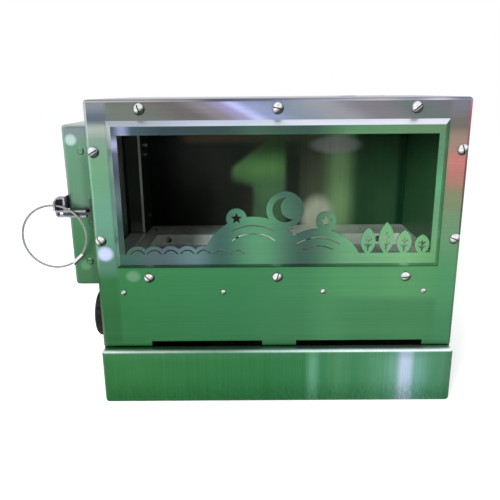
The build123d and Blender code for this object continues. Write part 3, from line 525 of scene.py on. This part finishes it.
def drawer_face(p):
    """The base's front face by X in painted reflections, with pale painted highlight streaks at the right,
    darker towards its foot.
    """
    face = p.across(
        p.x,
        (-0.190, ink(54, 117, 66)),
        (-0.020, ink(51, 117, 69)),
        (0.030, ink(56, 122, 77)),
        (0.040, ink(100, 160, 127)),
        (0.052, ink(63, 129, 88)),
        (0.070, ink(79, 138, 97)),
        (0.088, ink(68, 132, 91)),
        (0.118, ink(87, 147, 113)),
        (0.134, ink(110, 163, 142)),
        (0.143, ink(194, 210, 234)),
        (0.150, ink(184, 206, 226)),
        (0.158, ink(114, 168, 154)),
        (0.180, ink(82, 142, 108)),
        (0.197, ink(78, 130, 100)),
    )
    face = p.patch(face, ink(34, 98, 52), 0.35, p.ramp(p.z, 0.030, 0.006))
    return p.patch(face, ink(78, 124, 92), 0.3, p.ramp(p.z, 0.052, 0.061))


def drawer_lip(p):
    """The folded upper edge: a painted highlight in front, a painted reflection of the dark gap behind."""
    bright = p.across(
        p.x,
        (-0.195, ink(198, 216, 210)),
        (-0.150, ink(166, 186, 178)),
        (-0.066, ink(130, 161, 147)),
        (-0.012, ink(178, 203, 197)),
        (0.040, ink(212, 236, 238)),
        (0.095, ink(236, 246, 254)),
    )
    behind = p.across(
        p.x,
        (-0.150, ink(64, 128, 84)),
        (0.0, ink(96, 148, 120)),
        (0.150, ink(150, 172, 168)),
    )
    return p.mix(p.ramp(p.y, drawer_low.y + 0.0044, drawer_low.y + 0.0058), bright, behind)


def drawer_front_finish():
    """The base's folded front: fine upright grain, pale painted highlight streaks at the right, a painted
    highlight on the lip, painted reflections on its sides.
    """
    p = Painter("drawer_front_steel")
    colour = p.mix(p.ramp(p.nz, 0.20, 0.60), drawer_face(p), drawer_lip(p))
    # Painted reflections on the sides
    side = p.times(p.ramp(p.math("ABSOLUTE", p.nx), 0.25, 0.75), p.ramp(p.nz, 0.7, 0.3))
    side_reflection = p.across(p.x, (-0.1, ink(104, 134, 108)), (0.1, ink(86, 118, 98)))
    colour = p.patch(colour, side_reflection, 0.6, side)
    colour = p.mix(faces_back(p), colour, ink(52, 60, 56))
    speckle = p.noise((760.0, 760.0, 150.0), offset=(0.1, 0.6, 0.2))
    colour = p.patch(colour, ink(26, 84, 42), 0.5, speckle, p.ramp(p.z, 0.040, 0.006))
    return brushed(p, colour, "z", grain=0.10, streaks=0.6)


# Round marks on the door's front flange: X, Z and tone
mark_reach = 0.0075
door_marks = (
    (-0.2205, 0.3005, ink(172, 196, 192)),
    (-0.2165, 0.1605, ink(94, 134, 100)),
)


def side_door_finish():
    """The loading door's pan in painted reflections: paler at the top, deep green below; painted shade by
    the gap, painted highlights on its outer fold and upward faces.
    """
    p = Painter("side_door_steel")
    colour = p.across(
        p.z,
        (0.142, ink(62, 106, 72)),
        (0.204, ink(64, 110, 76)),
        (0.234, ink(86, 117, 97)),
        (0.254, ink(82, 122, 96)),
        (0.290, ink(90, 127, 104)),
        (0.314, ink(110, 124, 127)),
    )
    front = faces_front(p)
    # Painted shade along the gap by the body
    gap_shade = p.times(p.ramp(p.x, door_high.x - 0.011, door_high.x - 0.004), front, p.ramp(p.z, 0.30, 0.27))
    colour = p.patch(colour, ink(48, 84, 60), 0.45, gap_shade)
    for x, z, tone in door_marks:
        mark = p.times(p.blob((p.x, x, mark_reach), (p.z, z, mark_reach)), front)
        colour = p.patch(colour, tone, 0.75, mark)
    # Painted highlights on the outer fold and on upward faces
    by_outside = p.ramp(p.x, door_low.x + 0.008, door_low.x + 0.003)
    outer_fold = p.times(bends(p), by_outside, p.ramp(p.ny, 0.2, -0.2))
    outer_fold_highlight = p.across(p.z, (0.180, ink(110, 140, 118)), (0.260, ink(150, 172, 158)))
    colour = p.patch(colour, outer_fold_highlight, 0.6, outer_fold)
    colour = p.mix(p.ramp(p.nz, 0.4, 0.8), colour, ink(176, 186, 184))
    return brushed(p, colour, "z", grain=0.07)


def inside_tone(p):
    """The shell's inner faces: grey with soot, a painted green reflection at the right."""
    soot = p.noise((24.0, 24.0, 9.0), detail=4.0, offset=(0.2, 0.5, 0.3))
    colour = p.mix(soot, ink(70, 72, 68), ink(120, 116, 108))
    return p.patch(colour, ink(38, 84, 48), 0.9, p.ramp(p.x, 0.14, 0.17))


def body_shell_finish():
    """Painted reflections, a pale top and green sides, painted highlights on the bends, and a dull inside.
    """
    p = Painter("body_shell_steel")
    wall = p.across(
        p.z,
        (0.068, ink(58, 102, 72)),
        (0.180, ink(86, 132, 102)),
        (0.290, ink(110, 144, 124)),
        (0.342, ink(130, 140, 138)),
    )
    outside = p.mix(p.ramp(p.nz, 0.4, 0.9), wall, lid_reflection(p))
    # Painted highlights on the bends
    outside = p.patch(outside, bend_highlight, 0.5, bends(p))
    share = outward(p)
    colour = p.mix(share, inside_tone(p), outside)
    return brushed(p, colour, "y", metallic=p.ramp(share, 0.0, 1.0, inside_metal, outside_metal))


def back_wall_run(p):
    """The back wall from left to right: black as painted shade, brown-grey, then painted reflections in
    pale green and deep green.
    """
    return p.across(
        p.x,
        (-0.165, ink(7, 8, 9)),
        (-0.108, ink(48, 48, 45)),
        (-0.040, ink(48, 50, 44)),
        (0.030, ink(54, 59, 50)),
        (0.068, ink(84, 87, 71)),
        (0.104, ink(134, 167, 120)),
        (0.132, ink(48, 80, 53)),
        (0.184, ink(54, 88, 60)),
        (0.192, ink(20, 58, 34)),
    )


def green_patch(p):
    """Where the back wall shows a painted green reflection: a slope rising to the right, hollowed at its
    lower left.
    """
    slope = p.math("SUBTRACT", p.x, p.times(1.3, p.math("SUBTRACT", p.z, 0.236)))
    edges = p.times(
        p.ramp(slope, -0.070, -0.056),
        p.ramp(p.x, -0.064, -0.050),
        p.ramp(p.x, 0.026, 0.016),
    )
    hollow = p.blob((p.x, -0.066, 0.052), (p.z, 0.196, 0.036))
    low_left = p.times(p.ramp(p.x, -0.022, -0.032), p.ramp(p.z, 0.222, 0.206))
    return p.times(edges, p.rest(hollow), p.rest(low_left))


def back_wall_tone(p):
    """The back wall: brown above, painted reflections in green and pale patches, soot over all."""
    colour = back_wall_run(p)
    above = p.times(p.ramp(p.z, 0.272, 0.284), p.within(p.x, -0.110, 0.050, 0.030))
    brown = p.across(p.x, (-0.070, ink(98, 76, 52)), (0.010, ink(80, 84, 62)))
    colour = p.patch(colour, brown, 0.85, above)
    # Painted green reflection
    green = p.across(
        p.z,
        (0.175, ink(74, 102, 76)),
        (0.212, ink(88, 124, 88)),
        (0.240, ink(112, 162, 98)),
        (0.275, ink(62, 92, 56)),
    )
    colour = p.patch(colour, green, 0.95, green_patch(p))
    dark_band = p.times(p.within(p.x, 0.028, 0.038, 0.008), p.ramp(p.z, 0.262, 0.252))
    colour = p.patch(colour, ink(38, 42, 36), 0.7, dark_band)
    # Painted reflections: pale patches low and high
    low_pale_reflection = p.blob((p.x, 0.070, 0.030), (p.z, 0.164, 0.042))
    colour = p.patch(colour, ink(184, 184, 166), 0.9, low_pale_reflection)
    high_pale_reflection = p.blob((p.x, 0.095, 0.044), (p.z, 0.273, 0.016))
    colour = p.patch(colour, ink(168, 166, 166), 0.9, high_pale_reflection)
    soot = p.noise((22.0, 22.0, 9.0), detail=4.0, offset=(0.6, 0.2, 0.9))
    return p.patch(colour, ink(14, 15, 13), 0.28, soot)


def back_panel_finish():
    """Brushed steel behind in painted reflections with painted highlights on its bends, the firebox's
    soot, painted reflections and painted shade in front.
    """
    p = Painter("back_panel_steel")
    wall = p.across(
        p.z,
        (0.068, ink(74, 102, 84)),
        (0.200, ink(108, 132, 118)),
        (0.342, ink(132, 142, 140)),
    )
    # Painted highlights on the bends
    outside = p.patch(wall, bend_highlight, 0.5, bends(p))
    share = outward(p)
    colour = p.mix(share, back_wall_tone(p), outside)
    p.fix(Specular_IOR_Level=inside_gloss)
    return brushed(p, colour, "z", metallic=p.ramp(share, 0.0, 1.0, inside_metal, outside_metal))


# Inner sheets
sheet_soot = {"scale": (30.0, 30.0, 10.0), "detail": 5.0, "offset": (0.3, 0.8, 0.1)}
sheet_roughness = 0.38
# Painted highlight colour
edge_highlight = ink(250, 248, 244)


def inner_sheet_finish(name, low, high, along="z", metallic=inside_metal):
    """Inner sheets: steel with soot and heat tint, from low to high by a soft noise, and painted
    highlights on their bends.
    """
    p = Painter(name)
    colour = p.mix(p.noise(**sheet_soot), low, high)
    colour = p.patch(colour, edge_highlight, 0.8, bends(p))
    return brushed(p, colour, along, grain=0.16, metallic=metallic, base_roughness=sheet_roughness)


def liner_finish():
    """The left inner sheet and the door's throat: painted shade deepening towards the back, painted
    highlights along the edge by the opening and on the sill.
    """
    p = Painter("liner_steel")
    colour = p.across(
        p.y,
        (0.030, ink(112, 112, 104)),
        (0.054, ink(76, 80, 72)),
        (0.066, ink(48, 54, 48)),
        (0.110, ink(34, 40, 34)),
    )
    # Painted highlights along the rear edge by the opening and on the sill
    by_rear_edge = p.within(p.y, throat_high.y - 0.0030, throat_high.y, 0.0012)
    by_inner_edge = p.ramp(p.x, throat_high.x - 0.0035, throat_high.x - 0.0022)
    colour = p.patch(colour, ink(250, 248, 246), 0.9, by_rear_edge, by_inner_edge)
    sill = p.times(p.ramp(p.z, 0.178, 0.160), p.ramp(p.y, 0.062, 0.050))
    colour = p.patch(colour, ink(250, 246, 250), 0.8, sill)
    colour = p.patch(colour, ink(30, 32, 30), 0.35, p.noise(**sheet_soot))
    p.fix(Specular_IOR_Level=inside_gloss)
    return brushed(p, colour, "z", grain=0.12, metallic=inside_metal, base_roughness=sheet_roughness)


# Fasteners: how far the painted dark side of a head lies to the right, and how far down
shade_right = 0.55
shade_down = 0.83
# Painted shadow colour for slots
slot_shadow = ink(20, 24, 22)


def slot_share(p, slot_floor):
    """1 on a slot's floor and walls."""
    near_floor = p.ramp(p.y, slot_floor - 0.0005, slot_floor - 0.0002)
    flat = p.times(p.ramp(p.ny, -0.985, -0.995), near_floor)
    wall = p.ramp(p.math("ABSOLUTE", p.ny), 0.16, 0.06)
    return p.math("MAXIMUM", flat, wall)


def chrome_finish(name, slot_floor=None):
    """Bright screws in painted reflections, white above and dark green below and to the right, their slots
    in painted shadow.
    """
    p = Painter(name)
    down_right = p.math("SUBTRACT", p.times(shade_right, p.nx), p.times(shade_down, p.nz))
    colour = p.across(
        down_right,
        (-0.75, ink(250, 250, 252)),
        (-0.10, ink(232, 230, 234)),
        (0.22, ink(160, 160, 162)),
        (0.45, ink(42, 60, 46)),
        (0.80, ink(66, 92, 70)),
        (0.95, ink(150, 170, 152)),
    )
    blot = p.noise((260.0, 260.0, 260.0), detail=2.0)
    colour = p.patch(colour, ink(130, 130, 128), 0.30, blot)
    if slot_floor is not None:
        # Painted shadow in the slot
        colour = p.patch(colour, slot_shadow, 0.95, slot_share(p, slot_floor))
    return p.finish(colour, 1.0, 0.16, p.bump(blot, 0.00004, 0.3))


def worn_steel_finish(name, light, dark):
    """Hinge, catch and bracket steel with rubbed edges and fine scratches."""
    p = Painter(name)
    wear = p.noise((120.0, 120.0, 120.0), detail=5.0, roughness=0.65)
    scratch = p.noise((700.0, 60.0, 700.0), detail=2.0, offset=(0.7, 0.2, 0.4))
    colour = p.mix(wear, dark, light)
    roughness = p.math("ADD", 0.30, p.times(wear, 0.15))
    return p.finish(colour, 0.95, roughness, p.bump(scratch, 0.00004, 0.4))


# Sine waves of the gasket's weave, in radians per metre
weave_rate = 2600.0


def rope_gasket_finish():
    """Woven glass rope: slanted strands crossing two ways."""
    p = Painter("woven_gasket")
    waves = []
    for lean in (1.0, -1.0):
        along = p.math("ADD", p.math("ADD", p.y, p.z), p.times(p.x, lean))
        waves.append(p.math("SINE", p.times(along, weave_rate)))
    weave = p.ramp(p.times(*waves), -0.6, 0.6)
    fuzz = p.noise((900.0, 900.0, 900.0), detail=4.0)
    colour = p.mix(weave, ink(14, 14, 15), ink(48, 48, 48))
    colour = p.patch(colour, ink(70, 68, 64), 0.3, fuzz)
    return p.finish(colour, 0.0, 0.95, p.bump(weave, 0.0004, 0.8))


def black_cast_finish():
    """Heat-proof black paint over a slightly rough casting."""
    p = Painter("black_heat_paint")
    grit = p.noise((420.0, 420.0, 420.0), detail=5.0, roughness=0.7)
    rub = p.times(bends(p), p.noise((90.0, 90.0, 90.0), detail=4.0))
    colour = p.mix(grit, ink(5, 6, 6), ink(16, 18, 17))
    colour = p.patch(colour, ink(50, 54, 52), 0.5, rub)
    p.fix(Specular_IOR_Level=0.2)
    return p.finish(colour, 0.1, 0.6, p.bump(grit, 0.00012, 0.5))


# Glass: an index close to that of air, so that the pane mirrors nothing
glass_index = 1.01
glass_tint = (0.92, 0.95, 0.93, 1.0)


def glass_finish():
    """Clear heat-proof glass. Light and shadow rays pass straight through."""
    p = Painter("clear_glass")
    haze = p.noise((16.0, 16.0, 16.0), detail=4.0)
    p.fix(IOR=glass_index, Transmission_Weight=1.0)
    p.finish(ink(232, 240, 236), 0.0, p.times(haze, 0.02))
    clear = p.tree.nodes.new("ShaderNodeBsdfTransparent")
    clear.inputs["Color"].default_value = glass_tint
    rays = p.rays()
    through = p.math("MAXIMUM", rays["Is Shadow Ray"], rays["Is Diffuse Ray"])
    blend = p.tree.nodes.new("ShaderNodeMixShader")
    p.link(through, blend.inputs[0])
    p.link(p.shader.outputs["BSDF"], blend.inputs[1])
    p.link(clear.outputs["BSDF"], blend.inputs[2])
    p.link(blend.outputs[0], p.output.inputs["Surface"])
    return p.material


def cable_finish():
    """Twisted bright steel wire, with painted shade underneath."""
    p = Painter("twisted_cable")
    dirt = p.noise((500.0, 500.0, 500.0))
    colour = p.mix(p.ramp(p.nz, -0.7, 0.4), ink(92, 98, 94), ink(192, 196, 194))
    colour = p.patch(colour, ink(110, 114, 108), 0.35, dirt)
    return p.finish(colour, 1.0, 0.25, p.bump(dirt, 0.00003, 0.4))


def dress_outside():
    dress(front_panel_finish(), "front_panel")
    dress(window_frame_finish(), "window_frame")
    dress(drawer_front_finish(), "drawer_front")
    dress(side_door_finish(), "side_door", "door_rivets")
    dress(body_shell_finish(), "body_shell")
    dress(back_panel_finish(), "back_panel")
    dress(glass_finish(), "glass_pane")
    dress(rope_gasket_finish(), "door_gasket", "glass_gasket")
    dress(black_cast_finish(), "air_regulator", "clip_spacer")


def dress_inner_sheets():
    # The base frame's green is a painted reflection
    base = inner_sheet_finish("base_steel", ink(62, 92, 70), ink(84, 114, 92), metallic=outside_metal)
    dress(base, "base_frame")
    flue = inner_sheet_finish("flue_steel", ink(92, 96, 96), ink(150, 154, 154), metallic=outside_metal)
    dress(flue, "flue_socket")
    drawer = inner_sheet_finish("drawer_steel", ink(92, 98, 94), ink(140, 148, 142), "x", outside_metal)
    dress(drawer, "ash_drawer")
    dress(inner_sheet_finish("floor_steel", ink(164, 168, 172), ink(224, 226, 228), "x"), "floor_plate")
    # The air channels: pale steel, lightened further as a painted highlight
    channels = inner_sheet_finish("channel_steel", ink(204, 202, 200), edge_highlight, "x")
    dress(channels, "rear_air_channel", "left_air_channel", "right_air_channel")
    dress(liner_finish(), "left_liner", "door_throat")
    retainer = inner_sheet_finish("retainer_steel", ink(100, 102, 100), ink(186, 180, 172))
    dress(retainer, "door_liner", "glass_retainer")


def dress_fittings():
    dress(chrome_finish("window_screw_chrome", screw_low.y + window_slot_depth), "window_screws")
    dress(chrome_finish("floor_screw_chrome", floor_screw_low.y + floor_slot_depth), "floor_screws")
    dress(
        chrome_finish("bright_chrome"),
        "window_nuts", "floor_nuts", "channel_rivets", "channel_bolts", "hinge_bolts", "hinge_nuts",
        "keeper_screws", "base_screws", "base_nuts", "clip_rivets", "regulator_screw", "regulator_nut",
        "ring_barrel",
    )
    dress(
        worn_steel_finish("hinge_steel", ink(150, 154, 152), ink(92, 96, 94)),
        "wall_hinge_lower", "wall_hinge_upper", "hinge_pins", "door_hinge_lower", "door_hinge_upper",
    )
    dress(worn_steel_finish("catch_steel", ink(168, 164, 178), ink(104, 104, 112)), "latch_clip")
    dress(worn_steel_finish("keeper_steel", ink(72, 80, 76), ink(34, 42, 38)), "latch_keeper")


dress_outside()
dress_inner_sheets()
dress_fittings()

# Pull ring: six strands laid round a core, as wide outside as the CAD ring
strand_count = 6
strand_turns = 22
strand_roundness = 2
cable_radius = 0.0012
ring_steps = 528


def make_cable_ring():
    centre = (ring_low + ring_high) / 2
    loop_radius = (ring_high.x - ring_low.x) / 2 - cable_radius
    strand_radius = cable_radius / 3
    curve = bpy.data.curves.new("cable_ring", "CURVE")
    curve.dimensions = "3D"
    curve.bevel_depth = strand_radius
    curve.bevel_resolution = strand_roundness
    core = (0.0, 0.0)
    lays = [(2 * strand_radius, turn / strand_count) for turn in range(strand_count)] + [core]
    for reach, phase in lays:
        spline = curve.splines.new("POLY")
        spline.points.add(ring_steps - 1)
        spline.use_cyclic_u = True
        for step, point in enumerate(spline.points):
            along = 2 * math.pi * step / ring_steps
            twist = strand_turns * along + 2 * math.pi * phase
            out = loop_radius + reach * math.cos(twist)
            point.co = (
                centre.x + out * math.cos(along),
                centre.y + reach * math.sin(twist),
                centre.z + out * math.sin(along),
                1.0,
            )
    ring = bpy.data.objects.new("cable_ring", curve)
    scene.collection.objects.link(ring)
    curve.materials.append(cable_finish())
    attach(ring, "latch_ring")
    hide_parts("pull_ring")


make_cable_ring()

# Floor: lifted to white for the camera and through glass. Metal mirrors it as lit, which is near white
floor_half = 3.0
floor_lift = 0.5
floor_colour = (0.93, 0.93, 0.93, 1.0)
white = (1.0, 1.0, 1.0, 1.0)


def floor_finish():
    p = Painter("pale_floor")
    rays = p.rays()
    seen = p.math("MAXIMUM", rays["Is Camera Ray"], rays["Is Transmission Ray"])
    p.put(p.times(seen, floor_lift), p.shader.inputs["Emission Strength"])
    p.fix(Emission_Color=white, Specular_IOR_Level=0.1)
    return p.finish(floor_colour, 0.0, 0.9)


def make_floor():
    corners = [
        (-floor_half, -floor_half, 0.0),
        (floor_half, -floor_half, 0.0),
        (floor_half, floor_half, 0.0),
        (-floor_half, floor_half, 0.0),
    ]
    mesh = bpy.data.meshes.new("floor")
    mesh.from_pydata(corners, [], [(0, 1, 2, 3)])
    mesh.materials.append(floor_finish())
    floor = bpy.data.objects.new("floor", mesh)
    scene.collection.objects.link(floor)


make_floor()

# Surroundings: white where they show or mirror, softer as light
world_light = 0.55


def make_world():
    world = bpy.data.worlds.new("studio")
    scene.world = world
    world.use_nodes = True
    tree = world.node_tree
    background = tree.nodes["Background"]
    background.inputs["Color"].default_value = white
    rays = tree.nodes.new("ShaderNodeLightPath").outputs
    seen = rays["Is Camera Ray"]
    for name in ("Is Glossy Ray", "Is Transmission Ray"):
        either = tree.nodes.new("ShaderNodeMath")
        either.operation = "MAXIMUM"
        tree.links.new(seen, either.inputs[0])
        tree.links.new(rays[name], either.inputs[1])
        seen = either.outputs[0]
    level = tree.nodes.new("ShaderNodeMapRange")
    tree.links.new(seen, level.inputs["Value"])
    level.inputs["To Min"].default_value = world_light
    level.inputs["To Max"].default_value = 1.0
    tree.links.new(level.outputs["Result"], background.inputs["Strength"])


make_world()

# Lamps aim at the body's middle, the low one at the window
body_aim = (0.0, 0.0, 0.15)
window_aim = (0.0, 0.0, 0.22)


def make_lamp(name, place, aim, size, power):
    light = bpy.data.lights.new(name, "AREA")
    light.shape = "DISK"
    light.size = size
    light.energy = power
    lamp = bpy.data.objects.new(name, light)
    scene.collection.objects.link(lamp)
    lamp.location = place
    lamp.rotation_euler = (Vector(aim) - Vector(place)).to_track_quat("-Z", "Y").to_euler()
    return lamp


make_lamp("key_lamp", (-1.6, -1.8, 2.4), body_aim, size=1.6, power=6.0)
make_lamp("fill_lamp", (1.9, -1.6, 1.6), body_aim, size=1.8, power=4.0)
# Lights the firebox through the glass, and leaves no glare on the polished outside
low_lamp = make_lamp("low_lamp", (-1.2, -2.4, 1.0), window_aim, size=0.9, power=95.0)
low_lamp.visible_glossy = False

# Camera at the photograph's place, looking down a little; the shift follows the photograph's framing
camera_place = Vector((-0.0239, -0.7068, 0.3486))
camera_yaw = math.radians(-0.22)
camera_pitch = math.radians(15.89)
camera_roll = math.radians(-0.47)
camera_lens = 40.09
camera_shift = -0.0068
camera_near = 0.01


def make_camera():
    camera = bpy.data.objects.new("camera", bpy.data.cameras.new("camera"))
    scene.collection.objects.link(camera)
    camera.data.lens = camera_lens
    camera.data.shift_x = camera_shift
    camera.data.clip_start = camera_near
    ahead = Vector(
        (
            math.sin(camera_yaw) * math.cos(camera_pitch),
            math.cos(camera_yaw) * math.cos(camera_pitch),
            -math.sin(camera_pitch),
        )
    )
    level = Vector((math.cos(camera_yaw), -math.sin(camera_yaw), 0.0))
    rise = level.cross(ahead)
    right = level * math.cos(camera_roll) + rise * math.sin(camera_roll)
    up = rise * math.cos(camera_roll) - level * math.sin(camera_roll)
    turn = Matrix((right, up, -ahead)).transposed()
    camera.matrix_world = Matrix.Translation(camera_place) @ turn.to_4x4()
    scene.camera = camera


make_camera()
scene.view_settings.view_transform = "Standard"
